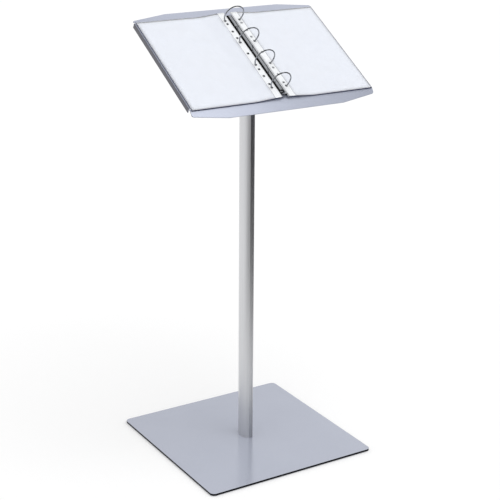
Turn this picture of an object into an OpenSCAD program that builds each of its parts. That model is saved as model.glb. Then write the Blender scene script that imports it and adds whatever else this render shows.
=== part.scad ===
// Free-standing lectern: square base plate, slim extruded column and a tilted sheet-metal
// tray that carries a four-ring binder with punched clear sleeves.
// Millimetres. Origin on the floor under the centre of the base plate, front towards -Y.

/* [Base] */
// Side of the square base plate
base_side = 460; // [400:5:560]
// Thickness of the base plate
base_t = 5; // [4:0.5:10]
// Corner radius of the base plate
base_corner_r = 12; // [4:1:30]
// Diameter of a foot pad
pad_d = 30; // [20:1:45]
// Thickness of a foot pad
pad_t = 2; // [1:0.5:4]
// Distance from the plate edges to a pad centre
pad_inset = 35; // [24:1:60]

/* [Column] */
// Height from the column's top end to the tray's surface above it
head_h = 55; // [48:1:90]
// Width across the curved sides
column_w = 31; // [26:0.5:50]
// Depth from front to back
column_depth = 51; // [46:1:80]
// Width of the flat strips at front and back
column_strip_w = 10; // [8:0.5:16]
// Wall thickness of the extrusion
column_wall = 2; // [1.5:0.1:3]
// Width of the groove in each flat strip
groove_w = 5.5; // [3:0.5:7]
// Depth of the groove in each flat strip
groove_depth = 1.1; // [0.5:0.1:1.3]
// Wall thickness round a screw port
port_wall = 1.8; // [1.2:0.1:3]

/* [Fasteners] */
// Diameter of the column screws
column_screw_d = 6; // [5:0.5:8]
// Length of the column screws in the column
column_screw_grip = 22; // [12:1:40]
// Diameter of the tray screws
tray_screw_d = 5; // [4:0.5:6]
// Height of a raised screw head
screw_head_h = 2.2; // [1.5:0.1:3]
// Height of a hexagon nut
nut_h = 4; // [2.5:0.5:6]

/* [Bracket] */
// Thickness of the bracket's plates
bracket_t = 4; // [3:0.5:6]
// Width of the bracket's tray plate
bracket_w = 120; // [90:5:200]
// Length of the bracket's tray plate along the slope
bracket_len = 100; // [90:5:150]
// Overhang of the cap plate past the column's front and back
cap_end = 4.5; // [2:0.5:12]
// Overhang of the cap plate past the column's sides
cap_side = 6.5; // [5:0.5:15]
// Sideways distance of the tray screws from the middle
tray_screw_x = 34; // [28:1:40]
// Half the distance between the tray screws along the slope
tray_screw_s = 37; // [34:1:44]

/* [Tray] */
// Tilt of the tray from level, in degrees
tray_tilt = 30; // [20:1:40]
// Height of the reading surface at the middle of the ring pattern
tray_z = 993; // [700:1:1300]
// Distance of the middle of the ring pattern behind the column axis
tray_y = -30; // [-50:1:0]
// Width of the tray
tray_w = 486; // [400:1:640]
// Thickness of the tray's sheet
tray_t = 1.5; // [1:0.1:2.5]
// Width of the straight middle stretch of the front and rear edges
tray_mid_w = 307; // [200:1:400]
// Distance from the ring pattern's middle down to the lip's fold
fold_s = 152; // [150:1:200]
// Length of the lip at the tray's sides
lip_side = 14.8; // [8:0.1:30]
// Length of the lip at the tray's middle
lip_mid = 27.5; // [16:0.5:40]
// Angle that the lip is folded down, in degrees
lip_fold = 26; // [5:1:60]
// Distance from the ring pattern's middle up to the rear corners
rear_side_s = 158; // [155:1:200]
// Distance from the ring pattern's middle up to the rear edge
rear_mid_s = 172.5; // [165:0.5:220]
// Rounding of the tray's corners
tray_corner_r = 5; // [1:0.5:8]
// Depth of the side flanges
flange_depth = 12; // [6:0.5:25]
// Distance from a side flange's end to the lip's fold
flange_low_gap = 6; // [4:0.5:20]
// Distance from a side flange's end to the rear corner
flange_high_gap = 8; // [5:0.5:20]
// Inner radius of the sheet's bends
bend_r = 1; // [0.5:0.1:2]
// Width of the relief slot at the flange's ends
relief_w = 2.5; // [1:0.5:4]

/* [Ring mechanism] */
// Distance between neighbouring rings
ring_pitch = 80; // [60:0.5:100]
// Radius of a ring to the middle of its wire
ring_r = 25; // [22:0.5:32]
// Depth to which a ring's full circle would dip under the tray's surface
ring_dip = 1; // [0:0.5:2]
// Diameter of the ring wire
wire_d = 3; // [2.6:0.1:3.2]
// Amount by which the foot of a ring is thicker than its wire
foot_swell = 0.4; // [0.3:0.1:0.6]
// Distance between the mechanism's middle and the inner end of a ring foot
foot_end_x = 6.5; // [6:0.1:7]
// Width of the cover
cover_w = 23; // [22:0.5:25]
// Height of the cover's crown
cover_h = 7.5; // [7.3:0.1:8]
// Height of the cover's straight side walls
cover_side_h = 4; // [3.8:0.1:4.4]
// Thickness of the cover's sheet
cover_t = 0.8; // [0.6:0.1:1]
// Length of the cover above the uppermost ring
cover_up_end = 19; // [14:1:25]
// Length of the cover below the lowest ring
cover_down_end = 23; // [22:1:26]
// Width of the cover's turned-in bottom edges
cover_edge = 2.6; // [2:0.1:3]
// Thickness of a hinge plate
leaf_t = 0.8; // [0.6:0.1:0.8]
// Height of a hinge plate's underside above the tray
leaf_n = 1.1; // [1.1:0.1:1.2]
// Length of a hinge plate past the outermost rings
leaf_end = 10; // [7:0.5:12]
// Distance of a fixing rivet from the outermost ring
rivet_inset = 20; // [12:1:28]
// Diameter of the fixing rivets' shanks
rivet_d = 4; // [3:0.5:5]
// Diameter of the fixing rivets' heads
rivet_head_d = 7.5; // [6:0.5:9]
// Width of the trigger lever
lever_w = 10.5; // [8:0.5:11]
// Length of the trigger lever from its pin
lever_len = 20; // [14:1:24]
// Angle at which the closed lever stands up, in degrees
lever_rise = 30; // [20:1:40]
// Diameter of the lever's pin
lever_pin_d = 2.5; // [2:0.1:3]

/* [Sleeves] */
// Number of sleeves on each side
sleeves = 4; // [2:1:6]
// Thickness of a filled sleeve
sleeve_t = 0.5; // [0.4:0.05:0.5]
// Thickness of the sleeve's film
film_t = 0.1; // [0.08:0.01:0.12]
// Thickness of the paper in a sleeve
paper_t = 0.2; // [0.1:0.05:0.2]
// Distance from the ring pattern's middle down to a sleeve's lower edge
sleeve_down = 155.5; // [152:0.5:156]
// Length of a sleeve above the paper in it
sleeve_top = 5.5; // [1.5:0.5:15]
// Width of the punched strip
punch_strip = 17; // [15:0.5:20]
// Distance from a sleeve's inner edge to its holes
hole_inset = 10; // [9.5:0.5:10]
// Diameter of the punched holes
hole_d = 6.5; // [6.2:0.1:7]
// Width of the paper
paper_w = 210; // [148:1:230]
// Length of the paper
paper_len = 297; // [210:1:330]
// Width of a sleeve's welded edges
pocket_edge = 2; // [1:0.5:4]
// Distance from the middle at which the sleeves lie flat on the tray
flat_x = 84; // [60:1:120]

/* [Fits] */
// Gap round a screw in its port, nut or threaded hole
thread_gap = 0.05; // [0.02:0.01:0.1]
// Gap round a screw in its clearance hole
screw_gap = 0.25; // [0.1:0.05:0.5]
// Radial gap of the lever on its pin
pin_gap = 0.05; // [0.02:0.01:0.1]
// Gap between the tray and the sheets that lie on it
lay_gap = 0.3; // [0.2:0.05:0.5]
// Gap between neighbouring sheets of one stack
sheet_gap = 0.05; // [0.04:0.01:0.1]

/* [Hidden] */
SIDES = [-1, 1];
RINGS = [1, 2, 3, 4];
function side_name(side) = side < 0 ? "left" : "right";

ROUND = 64;
METAL = "Silver";
CHROME = "LightSteelBlue";
DARK = "DimGray";
// Overrun of a cut past the faces that it goes through, and of one that ends flush
cut = 1;
skim = 0.01;

base_top_z = pad_t + base_t;
column_top_z = slope_z(0, 0) - head_h;
cap_w = column_w + 2 * cap_side;
cap_len = column_depth + 2 * cap_end;
wire_r = wire_d / 2;

// Column outline: two arcs between the flat strips
side_bulge = (column_w - column_strip_w) / 2;
side_r = (pow(column_depth / 2, 2) + pow(side_bulge, 2)) / (2 * side_bulge);
side_centre_x = side_r - column_w / 2;
port_r = column_screw_d / 2 + port_wall;
// How far a screw port runs into the wall beside it
port_sink = 0.5;
port_y = column_depth / 2 - column_wall - port_r + port_sink;
countersink_rim = 0.3;
countersink_h = column_screw_d / 2 + countersink_rim;
screw_head_r = column_screw_d;
button_r = 0.85 * column_screw_d;
socket_depth = 1.5;
socket_share = 0.65;
driver_room = 1.5;

// Where the column's axis meets the tray's surface, measured along the slope
bracket_s = -tray_y / cos(tray_tilt);
cap_top_z = column_top_z + bracket_t;
tray_screw_head_r = 0.95 * tray_screw_d;
nut_r = 0.8 * tray_screw_d / cos(30);
// Length of a tray screw past its nut
screw_end = 2;
tray_plate_bottom = -tray_t - bracket_t;

// Binder mechanism, with n measured up from the tray's surface
leaf_top = leaf_n + leaf_t;
ring_n = ring_r - ring_dip;
foot_r = (wire_d + foot_swell) / 2;
foot_n = leaf_top + foot_r;
foot_angle = asin((ring_n - foot_n) / ring_r);
foot_outer_x = ring_r * cos(foot_angle) + wire_r;
// Half the gap between two closed half rings, as an angle at the ring's centre
tip_angle = 0.12;
leaf_play = 0.7;
leaf_inner_x = 0.2;
leaf_outer_x = cover_w / 2 - cover_t - leaf_play;
outer_ring_s = 1.5 * ring_pitch;
cover_up = outer_ring_s + cover_up_end;
cover_down = outer_ring_s + cover_down_end;
leaf_half_len = outer_ring_s + leaf_end;
rivet_s = outer_ring_s - rivet_inset;
crown_r = (pow(cover_w / 2, 2) + pow(cover_h - cover_side_h, 2)) / (2 * (cover_h - cover_side_h));
lever_pin_inset = 6;
lever_pin_s = lever_pin_inset - cover_down;
lever_pin_n = foot_n;
lever_wall = 1.3;
lever_hub_r = lever_pin_d / 2 + lever_wall;
lever_t = 1.6;
lever_slot_play = 0.75;
tongue_gap = 0.4;
// Room round a ring's foot in the cover's window
window_side = 1.3;
window_end = 0.3;
window_below = 0.5;
window_above = 1.5;
// Pointed upper end of the cover
nose = 5;
rivet_foot_h = 1;
rivet_cap_h = 0.9;
rivet_play = 1.2;

// Sleeves: strip on the rings, a gentle slope down and a flat outer part
crown_x = 12;
strip_n = 5.8;
inner_slope = 0.06;
curve_steps = 12;
station_gap = 0.5;
page_gap = 0.25;
pocket_room = 1;
sleeve_w = punch_strip + paper_w + 2 * pocket_room + pocket_edge;
sleeve_up = pocket_edge + paper_len + sleeve_top - sleeve_down;
HOLE_S = [0, 0.5, 0.7, 1, 1.35, 1.5] * ring_pitch;

function slope_z(y, n) = tray_z + (y - tray_y) * tan(tray_tilt) + n / cos(tray_tilt);
function ring_s(i) = (2.5 - i) * ring_pitch;
function smooth(t) = t <= 0 ? 0 : t >= 1 ? 1 : t * t * (3 - 2 * t);
function sheet_level(i) = lay_gap + (i - 1) * (sleeve_t + sheet_gap) + (i == sleeves ? page_gap : 0);
function sheet_n(x) = strip_n * (1 - smooth((x - crown_x) / (flat_x - crown_x)))
    + inner_slope * max(0, crown_x - x);
function hole_x(i) = let (n = sheet_level(i) + sleeve_t / 2 + strip_n)
    sqrt(pow(ring_r, 2) - pow(ring_n - n, 2));
function inner_x(i) = hole_x(i) - hole_inset;
function curve_stations(x0, x1) = concat([x0],
    [for (k = [0:curve_steps]) let (x = crown_x + (flat_x - crown_x) * k / curve_steps)
        if (x > x0 + station_gap && x < x1 - station_gap) x], [x1]);
function sheet_outline(x0, x1, low, high) = let (xs = curve_stations(x0, x1))
    concat([for (x = xs) [x, sheet_n(x) + low]],
        [for (k = [len(xs) - 1:-1:0]) [xs[k], sheet_n(xs[k]) + high]]);
// A corner of an outline replaced by an arc, given its neighbours
function corner_arc(a, p, b, r) =
    let (u = (a - p) / norm(a - p), v = (b - p) / norm(b - p),
        half = acos(u * v) / 2, c = p + (u + v) / norm(u + v) * r / sin(half),
        t0 = p + u * r / tan(half) - c, t1 = p + v * r / tan(half) - c,
        a0 = atan2(t0[1], t0[0]), sweep = atan2(t0[0] * t1[1] - t0[1] * t1[0], t0 * t1))
    [for (k = [0:6]) c + r * [cos(a0 + sweep * k / 6), sin(a0 + sweep * k / 6)]];
function rounded(points, r) = let (m = len(points))
    [for (i = [0:m - 1]) each r[i] > 0
        ? corner_arc(points[(i + m - 1) % m], points[i], points[(i + 1) % m], r[i])
        : [points[i]]];

module on_slope() {
    translate([0, tray_y, tray_z]) rotate([tray_tilt, 0, 0]) children();
}

module on_side(side) {
    if (side < 0) mirror([1, 0, 0]) children();
    else children();
}

// Extrudes an outline of x and n along the slope, from s0 up to s1
module along_slope(s0, s1) {
    translate([0, s1, 0]) rotate([90, 0, 0]) linear_extrude(s1 - s0) children();
}

module cylinder_x(r, x0, x1) {
    translate([x0, 0, 0]) rotate([0, 90, 0]) cylinder(r = r, h = x1 - x0, $fn = ROUND);
}

module base_plate() {
    half = base_side / 2;
    flat = half - base_corner_r;
    color(METAL) difference() {
        translate([0, 0, pad_t]) union() {
            translate([-half, -flat, 0]) cube([base_side, 2 * flat, base_t]);
            translate([-flat, -half, 0]) cube([2 * flat, base_side, base_t]);
            for (x = SIDES) for (y = SIDES)
                translate([x * flat, y * flat, 0]) cylinder(r = base_corner_r, h = base_t, $fn = ROUND);
        }
        for (y = SIDES) translate([0, y * port_y, 0]) {
            cylinder(r = column_screw_d / 2 + screw_gap, h = base_top_z + cut, $fn = ROUND);
            translate([0, 0, pad_t - skim])
                cylinder(r1 = screw_head_r + thread_gap, r2 = column_screw_d / 2 + thread_gap,
                    h = countersink_h, $fn = ROUND);
        }
    }
}

module foot_pad(i) {
    reach = base_side / 2 - pad_inset;
    x = i % 2 == 0 ? reach : -reach;
    y = i > 2 ? reach : -reach;
    color(DARK) translate([x, y, 0]) cylinder(d = pad_d, h = pad_t, $fn = ROUND);
}

// Prism of the column's outline, moved inwards by inset
module column_prism(inset, z0, z1) {
    translate([0, 0, z0]) intersection() {
        translate([side_centre_x, 0, 0]) cylinder(r = side_r - inset, h = z1 - z0, $fn = 256);
        translate([-side_centre_x, 0, 0]) cylinder(r = side_r - inset, h = z1 - z0, $fn = 256);
        translate([-column_w, inset - column_depth / 2, 0])
            cube([2 * column_w, column_depth - 2 * inset, z1 - z0]);
    }
}

module column() {
    height = column_top_z - base_top_z;
    color(METAL) difference() {
        column_prism(0, base_top_z, column_top_z);
        difference() {
            column_prism(column_wall, base_top_z - cut, column_top_z + cut);
            for (y = SIDES) translate([0, y * port_y, base_top_z - cut])
                cylinder(r = port_r, h = height + 2 * cut, $fn = ROUND);
        }
        for (y = SIDES) {
            translate([0, y * port_y, base_top_z - cut])
                cylinder(r = column_screw_d / 2 + thread_gap, h = height + 2 * cut, $fn = ROUND);
            translate([-groove_w / 2, y * column_depth / 2 - groove_depth, base_top_z - cut])
                cube([groove_w, 2 * groove_depth, height + 2 * cut]);
        }
    }
}

module base_screw(y) {
    color(DARK) translate([0, y * port_y, pad_t]) difference() {
        union() {
            cylinder(r1 = screw_head_r, r2 = column_screw_d / 2, h = countersink_h, $fn = ROUND);
            cylinder(d = column_screw_d, h = base_t + column_screw_grip, $fn = ROUND);
        }
        translate([0, 0, -cut])
            cylinder(d = socket_share * column_screw_d, h = cut + socket_depth, $fn = 6);
    }
}

module head_screw(y) {
    color(DARK) translate([0, y * port_y, cap_top_z]) difference() {
        union() {
            cylinder(r = button_r, h = screw_head_h, $fn = ROUND);
            translate([0, 0, -bracket_t - column_screw_grip])
                cylinder(d = column_screw_d, h = bracket_t + column_screw_grip + cut, $fn = ROUND);
        }
        translate([0, 0, screw_head_h - socket_depth])
            cylinder(d = socket_share * column_screw_d, h = socket_depth + cut, $fn = 6);
    }
}

module head_bracket() {
    cheek_x = cap_w / 2 - bracket_t;
    cheek_half = cap_len / 2;
    cheek_root = column_top_z + bracket_t / 2;
    seat_n = tray_plate_bottom + bracket_t / 2;
    color(METAL) difference() {
        union() {
            translate([-cap_w / 2, -cap_len / 2, column_top_z]) cube([cap_w, cap_len, bracket_t]);
            for (x = [-cap_w / 2, cheek_x]) translate([x, 0, 0])
                rotate([90, 0, 90]) linear_extrude(bracket_t)
                    polygon([[-cheek_half, cheek_root], [cheek_half, cheek_root],
                        [cheek_half, slope_z(cheek_half, seat_n)],
                        [-cheek_half, slope_z(-cheek_half, seat_n)]]);
            on_slope() translate([-bracket_w / 2, bracket_s - bracket_len / 2, tray_plate_bottom])
                cube([bracket_w, bracket_len, bracket_t]);
        }
        for (y = SIDES) translate([0, y * port_y, column_top_z - cut])
            cylinder(d = column_screw_d + 2 * screw_gap, h = bracket_t + 2 * cut, $fn = ROUND);
        for (y = SIDES) translate([0, y * port_y, cap_top_z + 2 * cut])
            cylinder(r = button_r + driver_room, h = tray_z - column_top_z, $fn = ROUND);
        at_tray_screws() translate([0, 0, tray_plate_bottom - cut])
            cylinder(d = tray_screw_d + 2 * screw_gap, h = bracket_t + 2 * cut, $fn = ROUND);
    }
}

// Places children at one tray screw, or at all four
module at_tray_screws(only = 0) {
    for (i = [1:4]) if (only == 0 || only == i)
        on_slope() translate([i % 2 == 0 ? tray_screw_x : -tray_screw_x,
            bracket_s + (i > 2 ? tray_screw_s : -tray_screw_s), 0]) children();
}

module tray_screw(i) {
    color(CHROME) at_tray_screws(i) difference() {
        union() {
            cylinder(r = tray_screw_head_r, h = screw_head_h, $fn = ROUND);
            translate([0, 0, tray_plate_bottom - nut_h - screw_end]) cylinder(d = tray_screw_d,
                h = screw_end + nut_h - tray_plate_bottom + screw_head_h / 2, $fn = ROUND);
        }
        translate([0, 0, screw_head_h - socket_depth])
            cylinder(d = socket_share * tray_screw_d, h = socket_depth + cut, $fn = 6);
    }
}

module tray_nut(i) {
    color(CHROME) at_tray_screws(i) translate([0, 0, tray_plate_bottom - nut_h]) difference() {
        cylinder(r = nut_r, h = nut_h, $fn = 6);
        translate([0, 0, -cut])
            cylinder(d = tray_screw_d + 2 * thread_gap, h = nut_h + 2 * cut, $fn = ROUND);
    }
}

// Points of an arc, in the order of its two angles
function arc(centre, r, a0, a1) = [for (k = [0:6]) let (a = a0 + (a1 - a0) * k / 6)
    centre + r * [cos(a), sin(a)]];

// Bent sheet without its side flanges: the fold's profile cut to the tray's outline
module tray_sheet() {
    half = tray_w / 2;
    mid = tray_mid_w / 2;
    outer_r = bend_r + tray_t;
    centre = [-fold_s, -outer_r];
    lip = (lip_mid + 2 * tray_t) * [-cos(lip_fold), -sin(lip_fold)];
    outer_arc = arc(centre, outer_r, 90, 90 + lip_fold);
    inner_arc = arc(centre, bend_r, 90 + lip_fold, 90);
    side_s = -fold_s - lip_side * cos(lip_fold);
    mid_s = -fold_s - lip_mid * cos(lip_fold);
    intersection() {
        translate([-half, 0, 0]) rotate([90, 0, 90]) linear_extrude(tray_w)
            polygon(concat([[rear_mid_s, 0]], outer_arc, [outer_arc[6] + lip, inner_arc[0] + lip],
                inner_arc, [[rear_mid_s, -tray_t]]));
        translate([0, 0, -2 * lip_mid]) linear_extrude(3 * lip_mid)
            polygon(rounded([[half, side_s], [half, rear_side_s], [mid, rear_mid_s],
                [-mid, rear_mid_s], [-half, rear_side_s], [-half, side_s], [-mid, mid_s],
                [mid, mid_s]], [for (k = [0:7]) tray_corner_r]));
    }
}

module tray() {
    half = tray_w / 2;
    outer_r = bend_r + tray_t;
    centre = [half - outer_r, -outer_r];
    overlap_x = half - 3 * outer_r;
    flange_s0 = -fold_s + flange_low_gap;
    flange_s1 = rear_side_s - flange_high_gap;
    color(METAL) on_slope() difference() {
        union() {
            difference() {
                tray_sheet();
                for (side = SIDES) on_side(side)
                    translate([half - 2 * outer_r, flange_s0 - relief_w, -2 * tray_t])
                        cube([3 * outer_r, flange_s1 - flange_s0 + 2 * relief_w, 4 * tray_t]);
            }
            for (side = SIDES) on_side(side) along_slope(flange_s0, flange_s1)
                polygon(concat([[overlap_x, 0]], arc(centre, outer_r, 90, 0),
                    [[half, -flange_depth], [half - tray_t, -flange_depth]],
                    arc(centre, bend_r, 0, 90), [[overlap_x, -tray_t]]));
        }
        for (x = SIDES) for (s = SIDES)
            translate([x * tray_screw_x, bracket_s + s * tray_screw_s, -2 * tray_t])
                cylinder(d = tray_screw_d + 2 * screw_gap, h = 4 * tray_t, $fn = ROUND);
        for (s = SIDES) translate([0, s * rivet_s, -2 * tray_t])
            cylinder(d = rivet_d + 2 * thread_gap, h = 4 * tray_t, $fn = ROUND);
    }
}

// Solid of the cover's outline, moved inwards by inset
module cover_prism(inset, s0, s1) {
    intersection() {
        translate([0, s1, cover_h - crown_r]) rotate([90, 0, 0])
            cylinder(r = crown_r - inset, h = s1 - s0, $fn = 256);
        translate([inset - cover_w / 2, s0, inset]) cube([cover_w - 2 * inset, s1 - s0, cover_h]);
    }
}

module binder_cover() {
    slot_w = lever_w + 2 * lever_slot_play;
    slot_s = leaf_half_len - tongue_gap;
    window_w = 2 * (foot_r + window_side);
    window_h = 2 * foot_r + window_below + window_above;
    color(CHROME) on_slope() difference() {
        cover_prism(0, -cover_down, cover_up);
        cover_prism(cover_t, -cover_down - cut, cover_up + cut);
        translate([cover_edge - cover_w / 2, -cover_down - cut, -cut])
            cube([cover_w - 2 * cover_edge, cover_down + cover_up + 2 * cut, cover_h / 2]);
        for (side = SIDES) on_side(side) {
            for (i = RINGS) translate([foot_end_x - window_end, ring_s(i) - window_w / 2,
                foot_n - foot_r - window_below]) cube([cover_w, window_w, window_h]);
            translate([cover_w / 2 - nose, cover_up, -cut]) rotate([0, 0, -45])
                cube([2 * nose, 2 * nose, cover_h + 2 * cut]);
        }
        translate([-slot_w / 2, -cover_down - cut, -cut])
            cube([slot_w, cover_down - slot_s + cut, cover_h + 2 * cut]);
        translate([0, lever_pin_s, lever_pin_n])
            cylinder_x(lever_pin_d / 2 + thread_gap, -cover_w, cover_w);
        for (s = SIDES) translate([0, s * rivet_s, 0])
            cylinder(d = rivet_d + 2 * thread_gap, h = 2 * cover_h, $fn = ROUND);
    }
}

module binder_rivet(s) {
    foot = -tray_t - rivet_foot_h;
    color(CHROME) on_slope() translate([0, s * rivet_s, 0]) {
        translate([0, 0, foot]) cylinder(d = rivet_d, h = cover_h - foot, $fn = ROUND);
        translate([0, 0, foot]) cylinder(d = rivet_head_d, h = rivet_foot_h, $fn = ROUND);
        translate([0, 0, cover_h]) cylinder(d = rivet_head_d, h = rivet_cap_h, $fn = ROUND);
    }
}

module hinge_plate(side) {
    color(CHROME) on_slope() on_side(side) difference() {
        translate([leaf_inner_x, -leaf_half_len, leaf_n])
            cube([leaf_outer_x - leaf_inner_x, 2 * leaf_half_len, leaf_t]);
        for (s = SIDES) translate([0, s * rivet_s, 0])
            cylinder(r = rivet_d / 2 + rivet_play, h = cover_h, $fn = ROUND);
    }
}

module half_ring(side, i) {
    color(CHROME) on_slope() on_side(side) translate([0, ring_s(i), 0]) {
        translate([0, 0, ring_n]) rotate([90, 0, 0]) rotate([0, 0, -foot_angle])
            rotate_extrude(angle = foot_angle + 90 - tip_angle, $fn = 96)
                translate([ring_r, 0]) circle(r = wire_r, $fn = 24);
        translate([0, 0, foot_n]) cylinder_x(foot_r, foot_end_x, foot_outer_x);
    }
}

module trigger_lever() {
    tongue = -leaf_half_len - tongue_gap - lever_pin_s;
    color(CHROME) on_slope() translate([0, lever_pin_s, lever_pin_n]) difference() {
        union() {
            cylinder_x(lever_hub_r, -lever_w / 2, lever_w / 2);
            translate([-lever_w / 2, 0, -lever_t / 2]) cube([lever_w, tongue, lever_t]);
            rotate([-lever_rise, 0, 0]) translate([0, 0, lever_hub_r - lever_t]) {
                translate([-lever_w / 2, -lever_len + lever_w / 2, 0])
                    cube([lever_w, lever_len - lever_w / 2, lever_t]);
                translate([0, -lever_len + lever_w / 2, 0])
                    cylinder(d = lever_w, h = lever_t, $fn = ROUND);
            }
        }
        cylinder_x(lever_pin_d / 2 + pin_gap, -lever_w, lever_w);
    }
}

module trigger_pin() {
    color(CHROME) on_slope() translate([0, lever_pin_s, lever_pin_n])
        cylinder_x(lever_pin_d / 2, -cover_w / 2, cover_w / 2);
}

module sleeve(side, i) {
    x0 = inner_x(i);
    x1 = x0 + sleeve_w;
    level = sheet_level(i);
    color("AliceBlue", 0.6) on_slope() on_side(side) difference() {
        along_slope(-sleeve_down, sleeve_up) polygon(sheet_outline(x0, x1, level, level + sleeve_t));
        along_slope(pocket_edge - sleeve_down, sleeve_up + cut)
            polygon(sheet_outline(x0 + punch_strip, x1 - pocket_edge, level + film_t,
                level + sleeve_t - film_t));
        for (s = HOLE_S) for (way = SIDES) translate([hole_x(i), way * s, 0])
            cylinder(d = hole_d, h = ring_n, $fn = ROUND);
    }
}

module paper(side, i) {
    x0 = inner_x(i) + punch_strip + pocket_room;
    low = sheet_level(i) + (sleeve_t - paper_t) / 2;
    s0 = pocket_edge + pocket_room - sleeve_down;
    color("White") on_slope() on_side(side)
        along_slope(s0, s0 + paper_len) polygon(sheet_outline(x0, x0 + paper_w, low, low + paper_t));
}

base_plate();
for (i = [1:4]) foot_pad(i);
column();
base_screw(-1);  // base_screw_front
base_screw(1);  // base_screw_rear
head_bracket();
head_screw(-1);  // head_screw_front
head_screw(1);  // head_screw_rear
tray();
for (i = [1:4]) tray_screw(i);
for (i = [1:4]) tray_nut(i);
binder_cover();
binder_rivet(1);  // binder_rivet_upper
binder_rivet(-1);  // binder_rivet_lower
hinge_plate(-1);  // hinge_plate_left
hinge_plate(1);  // hinge_plate_right
trigger_lever();
trigger_pin();
for (side = SIDES) for (i = RINGS)
    half_ring(side, i);
for (side = SIDES) for (i = [1:sleeves])
    sleeve(side, i);
for (side = SIDES) for (i = [1:sleeves])
    paper(side, i);
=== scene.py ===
"""Looks of a free-standing lectern: a base plate, a slim column and a tilted tray with a ring binder.

Metres, in the CAD frame: origin on the floor under the base plate, +Z up, the reader at -Y.
"""
import math

import bmesh
import bpy
import numpy as np
from mathutils import Matrix, Vector, noise


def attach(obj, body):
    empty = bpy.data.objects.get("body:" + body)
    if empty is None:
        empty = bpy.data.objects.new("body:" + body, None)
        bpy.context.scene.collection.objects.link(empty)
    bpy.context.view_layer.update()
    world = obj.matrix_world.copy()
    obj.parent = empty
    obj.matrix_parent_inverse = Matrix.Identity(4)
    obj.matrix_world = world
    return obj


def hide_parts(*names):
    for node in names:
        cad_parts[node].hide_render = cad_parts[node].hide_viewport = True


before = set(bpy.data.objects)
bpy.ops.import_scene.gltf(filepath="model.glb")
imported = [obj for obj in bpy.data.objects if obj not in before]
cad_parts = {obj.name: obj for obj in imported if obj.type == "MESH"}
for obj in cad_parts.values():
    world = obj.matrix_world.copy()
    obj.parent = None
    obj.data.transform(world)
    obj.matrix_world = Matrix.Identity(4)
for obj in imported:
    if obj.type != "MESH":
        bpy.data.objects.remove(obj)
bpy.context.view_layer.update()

MM = 0.001

# Camera: the photograph's viewing angle
CAMERA_AZIMUTH = math.radians(-31.473)
CAMERA_ELEVATION = math.radians(19.121)
CAMERA_ROLL = math.radians(0.375)
CAMERA_PLACE = (-1.6140, -2.6534, 1.5840)
CAMERA_LENS = 96.56

# The tray's surface: x stays, s runs up the slope from the middle ring gap, n stands off the sheet
TILT = math.radians(30)
SLOPE_ORIGIN = Vector((0, -0.030, 0.993))
UP_SLOPE = Vector((0, math.cos(TILT), math.sin(TILT)))
OFF_SLOPE = Vector((0, -math.sin(TILT), math.cos(TILT)))

# Studio
FLOOR_TINT = (0.80, 0.80, 0.80, 1)
FLOOR_GLOW = 0.20
CARD_TINT = (0.02, 0.02, 0.02, 1)
FILL_LIGHT = 0.72

# Mirror reflections of the floor darken between these distances and between these turns, as
# cosines, away from the bright side
BRIGHT_SIDE = (-0.5, 0.866, 0)
FALLOFF_DISTANCE = (0.5, 1.5)
FALLOFF_TURN = (0.70, 0.15)

# Sleeves
SHEETS = 4
FILM_T = 0.1 * MM
STRIP_W = 17 * MM
HOLE_INSET = 10 * MM
HOLE_R = 3.25 * MM
HOLE_CELL = 5 * MM
HOLE_SEGMENTS = 16
RING_PITCH = 80 * MM
HOLE_STEPS = (-1.5, -1.35, -1, -0.7, -0.5, 0, 0.5, 0.7, 1, 1.35, 1.5)
WELD_W = 2 * MM
WELD_BLEND = 1 * MM
RIM_W = 0.8 * MM
RIM_SKIN = 0.01 * MM
LAYER_GAP = 0.005 * MM
LOOSE_LIFT = 0.5 * MM
PRESSED_LIFT = 0.04 * MM
WAVES_PER_M = 9
WAVE_START = 60 * MM
WAVE_FADE = 120 * MM
GRID_STEP = 9 * MM
SIDES = {"left": -1, "right": 1}

# Powder coat: the lowest and the highest tint, the painted shade on the side faces, and the base plate's
# rounded edge
TRAY_TINTS = ((0.455, 0.485, 0.585), (0.475, 0.505, 0.605))
BASE_TINTS = ((0.425, 0.450, 0.535), (0.445, 0.470, 0.555))
# Painted shade: the tray's side flanges and the base plate's side faces are painted dark by the way they
# face, as if in shade, and made rough and metallic so they lose their gloss
FLANGE_PAINTED_SHADE = ("X", 0.4, 0.8, (0.15, 0.15, 0.17))
PLATE_SIDE_PAINTED_SHADE = ("Z", 0.6, 0.2, (0.010, 0.010, 0.013))
PLATE_EDGE = 0.5 * MM
COAT_METALLIC = 0.2
PAINTED_SHADE_ROUGHNESS = 0.45

# Tolerances on the CAD mesh
RIM_BAND = 0.05 * MM
SAME_PLACE = 0.02 * MM
SAME_POINT = 0.01 * MM


# ---------- places ----------

def on_slope(x, s, n):
    """World point of a place on the tray's slope."""
    return SLOPE_ORIGIN + Vector((x, 0, 0)) + s * UP_SLOPE + n * OFF_SLOPE


def slope_places(node):
    """The (|x|, s, n) of each vertex of a CAD node."""
    places = []
    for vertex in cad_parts[node].data.vertices:
        offset = vertex.co - SLOPE_ORIGIN
        places.append((abs(vertex.co.x), offset.dot(UP_SLOPE), offset.dot(OFF_SLOPE)))
    return np.array(places)


class Sheet:
    """Outline of a CAD sheet on the slope: its extent, its underside over x, and its thickness."""

    def __init__(self, node):
        places = slope_places(node)
        self.x0, self.s0 = places[:, 0].min(), places[:, 1].min()
        self.x1, self.s1 = places[:, 0].max(), places[:, 1].max()
        rim = places[places[:, 1] < self.s0 + RIM_BAND]
        self.stations = np.unique(np.round(rim[:, 0], 5))
        near = [rim[abs(rim[:, 0] - x) < SAME_PLACE, 2] for x in self.stations]
        self.low = np.array([n.min() for n in near])
        self.thick = max(n.max() - n.min() for n in near)

    def under(self, x):
        """Height of the underside at x."""
        return float(np.interp(x, self.stations, self.low))


def smooth(t):
    """Smooth step from 0 to 1."""
    t = min(1, max(0, t))
    return t * t * (3 - 2 * t)


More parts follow.
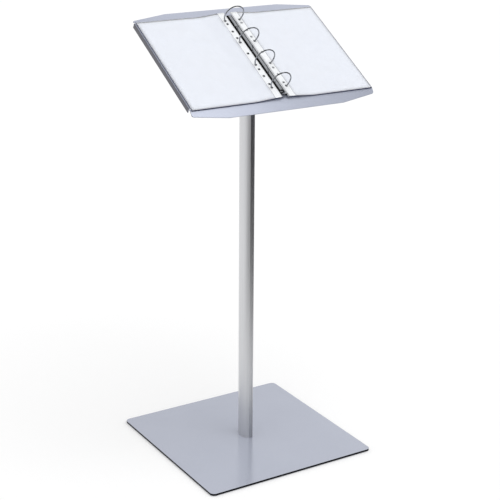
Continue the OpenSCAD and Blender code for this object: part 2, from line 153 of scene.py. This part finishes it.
def stations(start, end, step, extra=()):
    """Places from start to end, about a step apart, with the extra ones among them."""
    count = max(1, round((end - start) / step))
    even = [start + (end - start) * k / count for k in range(count + 1)]
    kept = [v for v in even if all(abs(v - e) > step / 4 for e in extra)]
    return sorted(set(kept + [start, end] + list(extra)))


# ---------- shader helpers ----------


def new_material(name):
    material = bpy.data.materials.new(name)
    material.use_nodes = True
    return material, material.node_tree, material.node_tree.nodes["Principled BSDF"]


def add_node(tree, kind, **settings):
    made = tree.nodes.new(kind)
    for key, value in settings.items():
        setattr(made, key, value)
    return made


def object_noise(tree, scale, stretch=(1, 1, 1), detail=3.0):
    """Noise in the object's own coordinates, in features per metre."""
    place = add_node(tree, "ShaderNodeTexCoord")
    mapping = add_node(tree, "ShaderNodeMapping")
    mapping.inputs["Scale"].default_value = stretch
    texture = add_node(tree, "ShaderNodeTexNoise")
    texture.inputs["Scale"].default_value = scale
    texture.inputs["Detail"].default_value = detail
    tree.links.new(place.outputs["Object"], mapping.inputs["Vector"])
    tree.links.new(mapping.outputs["Vector"], texture.inputs["Vector"])
    return texture.outputs["Fac"]


def ramp(tree, value, low, high, start=0.3, end=0.7):
    """Colour between low and high as value goes from start to end."""
    made = add_node(tree, "ShaderNodeValToRGB")
    made.color_ramp.elements[0].position = start
    made.color_ramp.elements[1].position = end
    made.color_ramp.elements[0].color = (*low, 1)
    made.color_ramp.elements[1].color = (*high, 1)
    tree.links.new(value, made.inputs["Fac"])
    return made.outputs["Color"]


def map_range(tree, value, start, end, low, high):
    """A number from low to high as value goes from start to end."""
    made = add_node(tree, "ShaderNodeMapRange")
    made.inputs["From Min"].default_value = start
    made.inputs["From Max"].default_value = end
    made.inputs["To Min"].default_value = low
    made.inputs["To Max"].default_value = high
    tree.links.new(value, made.inputs["Value"])
    return made.outputs["Result"]


def spread(tree, value, low, high):
    """A number from low to high over the middle of a noise."""
    return map_range(tree, value, 0.3, 0.7, low, high)


def bump(tree, value, depth, strength=1.0, edge=0.0):
    """Normal from a height, over edges that are rounded by edge metres."""
    made = add_node(tree, "ShaderNodeBump")
    made.inputs["Distance"].default_value = depth
    made.inputs["Strength"].default_value = strength
    tree.links.new(value, made.inputs["Height"])
    if edge > 0:
        bevel = add_node(tree, "ShaderNodeBevel", samples=4)
        bevel.inputs["Radius"].default_value = edge
        tree.links.new(bevel.outputs["Normal"], made.inputs["Normal"])
    return made.outputs["Normal"]


def facing(tree, axis, light_at, dark_at):
    """From 1 to 0 as the size of the normal's part along an axis goes from light_at to dark_at."""
    geometry = add_node(tree, "ShaderNodeNewGeometry")
    parts = add_node(tree, "ShaderNodeSeparateXYZ")
    size = add_node(tree, "ShaderNodeMath", operation="ABSOLUTE")
    tree.links.new(geometry.outputs["True Normal"], parts.inputs[0])
    tree.links.new(parts.outputs[axis], size.inputs[0])
    return map_range(tree, size.outputs[0], light_at, dark_at, 1, 0)


def blend(tree, kind, factor, plain, linked):
    """A plain value where the factor is 0, and a linked one where it is 1."""
    mix = add_node(tree, "ShaderNodeMix", data_type=kind)
    mix.inputs["A"].default_value = plain
    tree.links.new(linked, mix.inputs["B"])
    tree.links.new(factor, mix.inputs["Factor"])
    return mix.outputs["Result"]


# ---------- materials ----------

def powder_coat(name, tints, painted_shade_side=None):
    """Satin silver-grey powder coat between two tints: fine orange peel, a little mica, faint clouding.

    A painted shade side is an axis, two sizes and a colour: faces are painted in that dark colour as shade,
    rougher and fully metallic so that they lose the coat's gloss, as the size of their normal's part along
    that axis goes from the first size to the second.
    """
    material, tree, shader = new_material(name)
    cloud = object_noise(tree, scale=6, detail=4)
    peel = object_noise(tree, scale=1400, detail=2)
    mica = object_noise(tree, scale=5200, detail=1)
    tint = ramp(tree, cloud, *tints)
    fleck = ramp(tree, mica, low=(0.93, 0.93, 0.93), high=(1.08, 1.08, 1.08))
    mix = add_node(tree, "ShaderNodeMix", data_type="RGBA", blend_type="MULTIPLY")
    mix.inputs["Factor"].default_value = 1
    tree.links.new(tint, mix.inputs["A"])
    tree.links.new(fleck, mix.inputs["B"])
    colour = mix.outputs["Result"]
    roughness = spread(tree, cloud, low=0.15, high=0.19)
    # Painted shade: faces turned along the axis take the dark colour, more roughness and full metallic, so
    # they look shaded
    if painted_shade_side:
        axis, light_at, dark_at, dark = painted_shade_side
        light = facing(tree, axis, light_at, dark_at)
        colour = blend(tree, "RGBA", light, (*dark, 1), colour)
        roughness = blend(tree, "FLOAT", light, PAINTED_SHADE_ROUGHNESS, roughness)
        metallic = map_range(tree, light, 0, 1, 1.0, COAT_METALLIC)
        tree.links.new(metallic, shader.inputs["Metallic"])
    tree.links.new(colour, shader.inputs["Base Color"])
    tree.links.new(roughness, shader.inputs["Roughness"])
    shader.inputs["Metallic"].default_value = COAT_METALLIC
    normal = bump(tree, peel, depth=0.02 * MM, strength=0.35, edge=0.5 * MM)
    tree.links.new(normal, shader.inputs["Normal"])
    return material


def column_aluminium():
    """Anodised extrusion: die lines along the column and a soft, slightly streaky sheen."""
    material, tree, shader = new_material("column_aluminium")
    lines = object_noise(tree, scale=900, stretch=(1, 1, 0.004), detail=3)
    cloud = object_noise(tree, scale=9, stretch=(1, 1, 0.3), detail=3)
    tint = ramp(tree, lines, low=(0.64, 0.645, 0.66), high=(0.69, 0.695, 0.71))
    tree.links.new(tint, shader.inputs["Base Color"])
    roughness = spread(tree, cloud, low=0.40, high=0.45)
    tree.links.new(roughness, shader.inputs["Roughness"])
    shader.inputs["Metallic"].default_value = 1
    normal = bump(tree, lines, depth=0.01 * MM, strength=0.25, edge=0.3 * MM)
    tree.links.new(normal, shader.inputs["Normal"])
    return material


def chrome():
    """Nickel and chrome plate with faint polishing marks."""
    material, tree, shader = new_material("binder_chrome")
    cloud = object_noise(tree, scale=160, detail=3)
    marks = object_noise(tree, scale=2500, stretch=(1, 0.06, 0.06), detail=2)
    tint = ramp(tree, cloud, low=(0.27, 0.28, 0.30), high=(0.35, 0.36, 0.38))
    tree.links.new(tint, shader.inputs["Base Color"])
    roughness = spread(tree, marks, low=0.05, high=0.12)
    tree.links.new(roughness, shader.inputs["Roughness"])
    shader.inputs["Metallic"].default_value = 1
    normal = bump(tree, marks, depth=0.004 * MM, strength=0.3, edge=0.25 * MM)
    tree.links.new(normal, shader.inputs["Normal"])
    return material


def zinc():
    """Zinc-plated fasteners: bluish, slightly mottled."""
    material, tree, shader = new_material("zinc_steel")
    mottle = object_noise(tree, scale=600, detail=4)
    tint = ramp(tree, mottle, low=(0.50, 0.52, 0.55), high=(0.68, 0.69, 0.70))
    tree.links.new(tint, shader.inputs["Base Color"])
    roughness = spread(tree, mottle, low=0.25, high=0.42)
    tree.links.new(roughness, shader.inputs["Roughness"])
    shader.inputs["Metallic"].default_value = 1
    normal = bump(tree, mottle, depth=0.01 * MM, strength=0.3, edge=0.2 * MM)
    tree.links.new(normal, shader.inputs["Normal"])
    return material


def dark_steel():
    """Blackened screws."""
    material, tree, shader = new_material("dark_steel")
    mottle = object_noise(tree, scale=700, detail=4)
    tint = ramp(tree, mottle, low=(0.030, 0.030, 0.033), high=(0.062, 0.062, 0.066))
    tree.links.new(tint, shader.inputs["Base Color"])
    roughness = spread(tree, mottle, low=0.34, high=0.5)
    tree.links.new(roughness, shader.inputs["Roughness"])
    shader.inputs["Metallic"].default_value = 0.8
    normal = bump(tree, mottle, depth=0.01 * MM, strength=0.3, edge=0.2 * MM)
    tree.links.new(normal, shader.inputs["Normal"])
    return material


def rubber():
    """Matte black rubber pads."""
    material, tree, shader = new_material("rubber_pad")
    grain = object_noise(tree, scale=1800, detail=3)
    tint = ramp(tree, grain, low=(0.018, 0.018, 0.019), high=(0.034, 0.034, 0.036))
    tree.links.new(tint, shader.inputs["Base Color"])
    roughness = spread(tree, grain, low=0.75, high=0.9)
    tree.links.new(roughness, shader.inputs["Roughness"])
    normal = bump(tree, grain, depth=0.05 * MM, strength=0.5)
    tree.links.new(normal, shader.inputs["Normal"])
    return material


def clear_film():
    """Clear glossy film with a slight orange-peel gloss."""
    material, tree, shader = new_material("clear_film")
    ripple = object_noise(tree, scale=55, detail=3)
    haze = object_noise(tree, scale=12, detail=3)
    tint = ramp(tree, haze, low=(0.84, 0.87, 0.93), high=(0.90, 0.92, 0.96))
    tree.links.new(tint, shader.inputs["Base Color"])
    roughness = spread(tree, haze, low=0.08, high=0.16)
    tree.links.new(roughness, shader.inputs["Roughness"])
    alpha = spread(tree, haze, low=0.12, high=0.18)
    tree.links.new(alpha, shader.inputs["Alpha"])
    normal = bump(tree, ripple, depth=0.3 * MM, strength=0.25)
    tree.links.new(normal, shader.inputs["Normal"])
    return material


def welded_film():
    """Milky film where the two layers are welded together."""
    material, tree, shader = new_material("welded_film")
    stipple = object_noise(tree, scale=900, detail=2)
    tint = ramp(tree, stipple, low=(0.88, 0.90, 0.95), high=(0.93, 0.94, 0.97))
    tree.links.new(tint, shader.inputs["Base Color"])
    roughness = spread(tree, stipple, low=0.25, high=0.4)
    tree.links.new(roughness, shader.inputs["Roughness"])
    alpha = spread(tree, stipple, low=0.7, high=0.85)
    tree.links.new(alpha, shader.inputs["Alpha"])
    normal = bump(tree, stipple, depth=0.04 * MM, strength=0.5)
    tree.links.new(normal, shader.inputs["Normal"])
    return material


def film_edge_and_painted_shade():
    """Cut edges of the sleeves in dark blue, also used for the strips along their edges; darkened further
    as painted shade of the gap under the stack.
    """
    material, tree, shader = new_material("film_edge_and_painted_shade")
    grain = object_noise(tree, scale=400, detail=2)
    tint = ramp(tree, grain, low=(0.018, 0.022, 0.075), high=(0.035, 0.042, 0.12))
    tree.links.new(tint, shader.inputs["Base Color"])
    roughness = spread(tree, grain, low=0.3, high=0.45)
    tree.links.new(roughness, shader.inputs["Roughness"])
    return material


def punched_strip():
    """Milky reinforced strip with the holes."""
    material, tree, shader = new_material("punched_strip")
    grain = object_noise(tree, scale=300, detail=3)
    tint = ramp(tree, grain, low=(0.88, 0.90, 0.93), high=(0.92, 0.94, 0.96))
    tree.links.new(tint, shader.inputs["Base Color"])
    roughness = spread(tree, grain, low=0.22, high=0.34)
    tree.links.new(roughness, shader.inputs["Roughness"])
    normal = bump(tree, grain, depth=0.02 * MM, strength=0.4)
    tree.links.new(normal, shader.inputs["Normal"])
    return material


def white_paper():
    """Blank paper with a fine fibre grain."""
    material, tree, shader = new_material("white_paper")
    fibre = object_noise(tree, scale=1500, stretch=(1, 0.4, 0.4), detail=4)
    tint = ramp(tree, fibre, low=(0.86, 0.885, 0.945), high=(0.89, 0.91, 0.96))
    tree.links.new(tint, shader.inputs["Base Color"])
    roughness = spread(tree, fibre, low=0.7, high=0.85)
    tree.links.new(roughness, shader.inputs["Roughness"])
    normal = bump(tree, fibre, depth=0.02 * MM, strength=0.4)
    tree.links.new(normal, shader.inputs["Normal"])
    return material


# ---------- CAD nodes ----------

# Material by the start of a node's name; the binder's pieces, which aren't listed, are chrome
FINISHES = {
    "foot_pad": "rubber",
    "column": "aluminium",
    "base_screw": "dark",
    "head_screw": "dark",
    "tray_screw": "zinc",
    "tray_nut": "zinc",
    "base_plate": "base",
    "head_bracket": "coat",
    "tray": "tray",
}


def finish_of(node, materials):
    """The material of a CAD node that stays in view."""
    for start, kind in FINISHES.items():
        if node.startswith(start):
            return materials[kind]
    return materials["chrome"]


def dress_cad_nodes(materials):
    for name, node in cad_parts.items():
        node.data.materials.clear()
        node.data.materials.append(finish_of(name, materials))


def round_edges(node, width):
    """Rounds the sharp edges of a CAD node with modifiers, so that they catch the light."""
    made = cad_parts[node]
    weld = made.modifiers.new("weld", "WELD")
    weld.merge_threshold = SAME_POINT
    bevel = made.modifiers.new("edges", "BEVEL")
    bevel.width = width
    bevel.segments = 3
    bevel.limit_method = "ANGLE"
    bevel.angle_limit = math.radians(40)
    bevel.harden_normals = True


# ---------- sleeves and papers ----------

def wave(x, s, seed, height):
    """Gentle unevenness of a loose sheet, upwards only, fading out towards the rings."""
    rise = noise.noise(Vector((x * WAVES_PER_M, s * WAVES_PER_M, seed)))
    fade = smooth((x - WAVE_START) / WAVE_FADE)
    return height * fade * (0.5 + 0.5 * rise)


def punched_grid(xs, ss, holes, height_at):
    """Surface over a grid of x and s, with a round hole in the middle of each named cell."""
    mesh = bmesh.new()
    corners = [[mesh.verts.new((x, s, height_at(x, s))) for s in ss] for x in xs]
    for a in range(len(xs) - 1):
        for b in range(len(ss) - 1):
            quad = [corners[a][b], corners[a + 1][b], corners[a + 1][b + 1], corners[a][b + 1]]
            middle = ((xs[a] + xs[a + 1]) / 2, (ss[b] + ss[b + 1]) / 2)
            if any(math.dist(middle, hole) < SAME_POINT for hole in holes):
                punch(mesh, quad, middle, height_at)
            else:
                mesh.faces.new(quad)
    return mesh


def punch(mesh, quad, centre, height_at):
    """Faces between a square cell and the round hole in it."""
    rim = []
    first_corner = math.radians(225)
    for k in range(HOLE_SEGMENTS):
        turn = 2 * math.pi * k / HOLE_SEGMENTS + first_corner
        x, s = centre[0] + HOLE_R * math.cos(turn), centre[1] + HOLE_R * math.sin(turn)
        rim.append(mesh.verts.new((x, s, height_at(x, s))))
    quarter = HOLE_SEGMENTS // 4
    half = quarter // 2
    for k, corner in enumerate(quad):
        first = k * quarter - half
        for j in range(first, first + quarter):
            mesh.faces.new([corner, rim[(j + 1) % HOLE_SEGMENTS], rim[j % HOLE_SEGMENTS]])
        mesh.faces.new([corner, quad[(k + 1) % 4], rim[(first + quarter) % HOLE_SEGMENTS]])


def sheet_object(name, mesh, side, thickness, materials, material_at=None):
    """Object from a surface in x, s and n on one side of the binder, thickened upwards.

    Its cut edges take the last of the materials.
    """
    for face in mesh.faces:
        face.smooth = True
        if material_at is not None:
            centre = face.calc_center_median()
            face.material_index = material_at(centre.x, centre.y)
    for vertex in mesh.verts:
        vertex.co = on_slope(side * vertex.co.x, vertex.co.y, vertex.co.z)
    if side < 0:
        bmesh.ops.reverse_faces(mesh, faces=mesh.faces)
    data = bpy.data.meshes.new(name)
    mesh.to_mesh(data)
    mesh.free()
    made = bpy.data.objects.new(name, data)
    bpy.context.scene.collection.objects.link(made)
    for material in materials:
        data.materials.append(material)
    solid = made.modifiers.new("thickness", "SOLIDIFY")
    solid.thickness = thickness
    solid.offset = 1
    solid.material_offset_rim = len(materials) - 1
    return made


def hole_places(sheet):
    """The (x, s) of each hole in a strip."""
    return [(sheet.x0 + HOLE_INSET, step * RING_PITCH) for step in HOLE_STEPS]


def sleeve_stations(sheet):
    """Grid lines of a sleeve: even ones, with those of the strip, the welds and the hole cells."""
    strip = [sheet.x0 + HOLE_INSET - HOLE_CELL, sheet.x0 + HOLE_INSET + HOLE_CELL]
    seam = [sheet.x0 + STRIP_W, sheet.x0 + STRIP_W + WELD_BLEND]
    rim = [sheet.x1 - WELD_W - WELD_BLEND, sheet.x1 - WELD_W]
    xs = stations(sheet.x0, sheet.x1, GRID_STEP, strip + seam + rim)
    xs = [x for x in xs if not strip[0] < x < strip[1]]
    cells = [s + way * HOLE_CELL for _, s in hole_places(sheet) for way in (-1, 1)]
    foot = [sheet.s0 + WELD_W, sheet.s0 + WELD_W + WELD_BLEND]
    ss = stations(sheet.s0, sheet.s1, GRID_STEP, cells + foot)
    middles = [s for _, s in hole_places(sheet)]
    clear = HOLE_CELL - SAME_POINT
    return xs, [s for s in ss if all(abs(s - middle) >= clear for middle in middles)]


def pocket(sheet, x, s):
    """How far open the pocket is at a place, from 0 at a weld to 1."""
    inner = smooth((x - sheet.x0 - STRIP_W) / WELD_BLEND)
    outer = smooth((sheet.x1 - WELD_W - x) / WELD_BLEND)
    foot = smooth((s - sheet.s0 - WELD_W) / WELD_BLEND)
    return inner * outer * foot


def build_rims(side_name, number, sheet, lower, body, material):
    """Dark strips along the lower and the outer edge of a sleeve, as thick as the pocket: the film's dark
    edge, darkened further as painted shade of the gap under the stack.
    """

    def bottom(x, s):
        return lower(x, s) + RIM_SKIN

    foot = sheet.s0 + RIM_W
    spans = {
        "foot": (sheet.x0, sheet.x1, sheet.s0, foot),
        "outer": (sheet.x1 - RIM_W, sheet.x1, foot, sheet.s1),
    }
    for place, (x0, x1, s0, s1) in spans.items():
        mesh = punched_grid(stations(x0, x1, GRID_STEP), stations(s0, s1, GRID_STEP), [], bottom)
        name = f"rim_{side_name}_{number}_{place}"
        made = sheet_object(name, mesh, SIDES[side_name], sheet.thick - 2 * RIM_SKIN, (material,))
        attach(made, body)


def build_sleeve(side_name, number, body, materials):
    """Two welded films with a punched strip and, between them, a sheet of paper."""
    side = SIDES[side_name]
    node = f"sleeve_{side_name}_{number}"
    sheet = Sheet(node)
    seed = 3.7 * number + 11 * side
    lift = LOOSE_LIFT if number == SHEETS else PRESSED_LIFT
    room = sheet.thick - 2 * FILM_T
    xs, ss = sleeve_stations(sheet)

    def lower(x, s):
        return sheet.under(x) + wave(x, s, seed, lift)

    def upper(x, s):
        return lower(x, s) + FILM_T + LAYER_GAP + room * pocket(sheet, x, s)

    def film_kind(x, s):
        if x < sheet.x0 + STRIP_W:
            return 1
        return 2 if x > sheet.x1 - WELD_W or s < sheet.s0 + WELD_W else 0

    kinds = [materials[kind] for kind in ("film", "strip", "weld", "edge")]
    for layer, height_at in (("back", lower), ("front", upper)):
        mesh = punched_grid(xs, ss, hole_places(sheet), height_at)
        made = sheet_object(f"film_{side_name}_{number}_{layer}", mesh, side, FILM_T, kinds, film_kind)
        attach(made, body)
    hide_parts(node)
    build_rims(side_name, number, sheet, lower, body, materials["edge"])
    build_page(side_name, number, lower, room, body, materials["paper"])


def build_page(side_name, number, lower, room, body, material):
    """Sheet of paper halfway up the room between the films of a sleeve."""
    node = f"paper_{side_name}_{number}"
    sheet = Sheet(node)

    def bottom(x, s):
        return lower(x, s) + FILM_T + (room - sheet.thick) / 2

    xs = stations(sheet.x0, sheet.x1, GRID_STEP)
    ss = stations(sheet.s0, sheet.s1, GRID_STEP)
    mesh = punched_grid(xs, ss, [], bottom)
    name = f"page_{side_name}_{number}"
    made = sheet_object(name, mesh, SIDES[side_name], sheet.thick, (material,))
    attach(made, body)
    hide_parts(node)


def build_sleeves(materials):
    for side_name in SIDES:
        for number in range(1, SHEETS + 1):
            group = "page" if number == SHEETS else "stack"
            build_sleeve(side_name, number, f"{group}_{side_name}", materials)


# ---------- stage ----------

def plane(name, centre, size, material, tilt=0.0, turn=0.0):
    """Flat panel: size across and along, tilted up from level and then turned about Z."""
    bpy.ops.mesh.primitive_plane_add(size=1, location=centre, rotation=(tilt, 0, turn))
    made = bpy.context.object
    made.name = name
    made.scale = (size[0], size[1], 1)
    made.data.materials.append(material)
    return made


def floor_material():
    """White floor; for camera and mirror rays it glows a little, so it reads as white but keeps shadows."""
    material, tree, shader = new_material("floor")
    shader.inputs["Base Color"].default_value = FLOOR_TINT
    shader.inputs["Roughness"].default_value = 0.9
    shader.inputs["Specular IOR Level"].default_value = 0
    seen = seen_directly(tree)
    glow = add_node(tree, "ShaderNodeMath", operation="MULTIPLY")
    glow.inputs[1].default_value = FLOOR_GLOW
    tree.links.new(seen, glow.inputs[0])
    shader.inputs["Emission Color"].default_value = (1, 1, 1, 1)
    tree.links.new(glow.outputs[0], shader.inputs["Emission Strength"])
    return material


def seen_directly(tree):
    """1 for camera, glossy and transmission rays, otherwise 0."""
    path = add_node(tree, "ShaderNodeLightPath")
    total = path.outputs["Is Camera Ray"]
    for other in ("Is Glossy Ray", "Is Transmission Ray"):
        added = add_node(tree, "ShaderNodeMath", operation="MAXIMUM")
        tree.links.new(total, added.inputs[0])
        tree.links.new(path.outputs[other], added.inputs[1])
        total = added.outputs[0]
    return total


def flag_material():
    """Matte black card."""
    material, tree, shader = new_material("flag")
    shader.inputs["Base Color"].default_value = CARD_TINT
    shader.inputs["Roughness"].default_value = 1
    return material


def falloff_material():
    """Black that fades in with the distance from the stand, except towards the back left."""
    material = bpy.data.materials.new("falloff")
    material.use_nodes = True
    tree = material.node_tree
    tree.nodes.clear()
    place = add_node(tree, "ShaderNodeNewGeometry").outputs["Position"]
    length = add_node(tree, "ShaderNodeVectorMath", operation="LENGTH")
    towards = add_node(tree, "ShaderNodeVectorMath", operation="NORMALIZE")
    along = add_node(tree, "ShaderNodeVectorMath", operation="DOT_PRODUCT")
    along.inputs[1].default_value = BRIGHT_SIDE
    tree.links.new(place, length.inputs[0])
    tree.links.new(place, towards.inputs[0])
    tree.links.new(towards.outputs["Vector"], along.inputs[0])
    far = map_range(tree, length.outputs["Value"], *FALLOFF_DISTANCE, 0, 1)
    off_side = map_range(tree, along.outputs["Value"], *FALLOFF_TURN, 0, 1)
    factor = add_node(tree, "ShaderNodeMath", operation="MULTIPLY")
    tree.links.new(far, factor.inputs[0])
    tree.links.new(off_side, factor.inputs[1])
    mix = add_node(tree, "ShaderNodeMixShader")
    clear = add_node(tree, "ShaderNodeBsdfTransparent")
    black = add_node(tree, "ShaderNodeBsdfDiffuse")
    black.inputs["Color"].default_value = CARD_TINT
    tree.links.new(factor.outputs[0], mix.inputs["Fac"])
    tree.links.new(clear.outputs[0], mix.inputs[1])
    tree.links.new(black.outputs[0], mix.inputs[2])
    output = add_node(tree, "ShaderNodeOutputMaterial")
    tree.links.new(mix.outputs[0], output.inputs["Surface"])
    return material


def make_flag(name, centre, size, material, tilt=0.0, turn=0.0):
    """Black card that only mirror reflections see."""
    card = plane(name, centre, size, material, tilt, turn)
    card.visible_camera = False
    card.visible_diffuse = False
    card.visible_shadow = False
    card.visible_transmission = False
    return card


def make_world(fill):
    """White surroundings that light the object at a strength of fill and are seen at 1."""
    world = bpy.data.worlds.new("studio")
    bpy.context.scene.world = world
    world.use_nodes = True
    tree = world.node_tree
    background = tree.nodes["Background"]
    background.inputs["Color"].default_value = (1, 1, 1, 1)
    strength = add_node(tree, "ShaderNodeMapRange")
    strength.inputs["To Min"].default_value = fill
    strength.inputs["To Max"].default_value = 1.0
    tree.links.new(seen_directly(tree), strength.inputs["Value"])
    tree.links.new(strength.outputs["Result"], background.inputs["Strength"])


def make_sun(name, azimuth, elevation, strength, softness):
    """Soft lamp whose light comes from that azimuth, 0 from -Y and 90 from +X."""
    lamp = bpy.data.lights.new(name, "SUN")
    lamp.energy = strength
    lamp.angle = math.radians(softness)
    made = bpy.data.objects.new(name, lamp)
    bpy.context.scene.collection.objects.link(made)
    a, e = math.radians(azimuth), math.radians(elevation)
    towards = Vector((math.sin(a) * math.cos(e), -math.cos(a) * math.cos(e), math.sin(e)))
    made.rotation_euler = towards.to_track_quat("Z", "Y").to_euler()


def make_camera():
    camera = bpy.data.cameras.new("camera")
    camera.lens = CAMERA_LENS
    camera.sensor_width = 36
    camera.clip_end = 200
    made = bpy.data.objects.new("camera", camera)
    bpy.context.scene.collection.objects.link(made)
    a, e, r = CAMERA_AZIMUTH, CAMERA_ELEVATION, CAMERA_ROLL
    back = Vector((math.sin(a) * math.cos(e), -math.cos(a) * math.cos(e), math.sin(e)))
    level = Vector((math.cos(a), math.sin(a), 0))
    up = back.cross(level)
    right = math.cos(r) * level + math.sin(r) * up
    top = math.cos(r) * up - math.sin(r) * level
    turn = Matrix((right, top, back)).transposed()
    made.matrix_world = Matrix.Translation(CAMERA_PLACE) @ turn.to_4x4()
    bpy.context.scene.camera = made


def make_stage():
    plane("floor", centre=(0, 0, 0), size=(80, 80), material=floor_material())
    card = flag_material()
    upright = math.radians(90)
    make_flag("flag_floor", centre=(0, 0, 2 * MM), size=(12, 12), material=falloff_material())
    make_flag("flag_front", centre=(-1.7, -4.6, 2.2), size=(11.5, 4.4), material=card, tilt=upright)
    make_flag("flag_right", centre=(4.2, -1.9, 3), size=(7, 6), material=card, tilt=upright, turn=upright)
    make_flag("flag_top_left", centre=(-0.2, -1.2, 3.6), size=(2.6, 4.4), material=card)
    make_flag("flag_top_right", centre=(3.3, -1.2, 3.6), size=(2, 4.4), material=card)
    make_world(FILL_LIGHT)
    make_sun("key", azimuth=20, elevation=64, strength=1.1, softness=50)
    bpy.context.scene.view_settings.view_transform = "Standard"


# ---------- build ----------

def main():
    make_camera()
    make_stage()
    materials = {
        "coat": powder_coat("powder_coat", BASE_TINTS),
        "tray": powder_coat("powder_coat_tray_painted_shade", TRAY_TINTS, FLANGE_PAINTED_SHADE),
        "base": powder_coat("powder_coat_base_painted_shade", BASE_TINTS, PLATE_SIDE_PAINTED_SHADE),
        "aluminium": column_aluminium(),
        "chrome": chrome(),
        "zinc": zinc(),
        "dark": dark_steel(),
        "rubber": rubber(),
        "film": clear_film(),
        "weld": welded_film(),
        "edge": film_edge_and_painted_shade(),
        "strip": punched_strip(),
        "paper": white_paper(),
    }
    dress_cad_nodes(materials)
    round_edges("base_plate", PLATE_EDGE)
    build_sleeves(materials)


main()
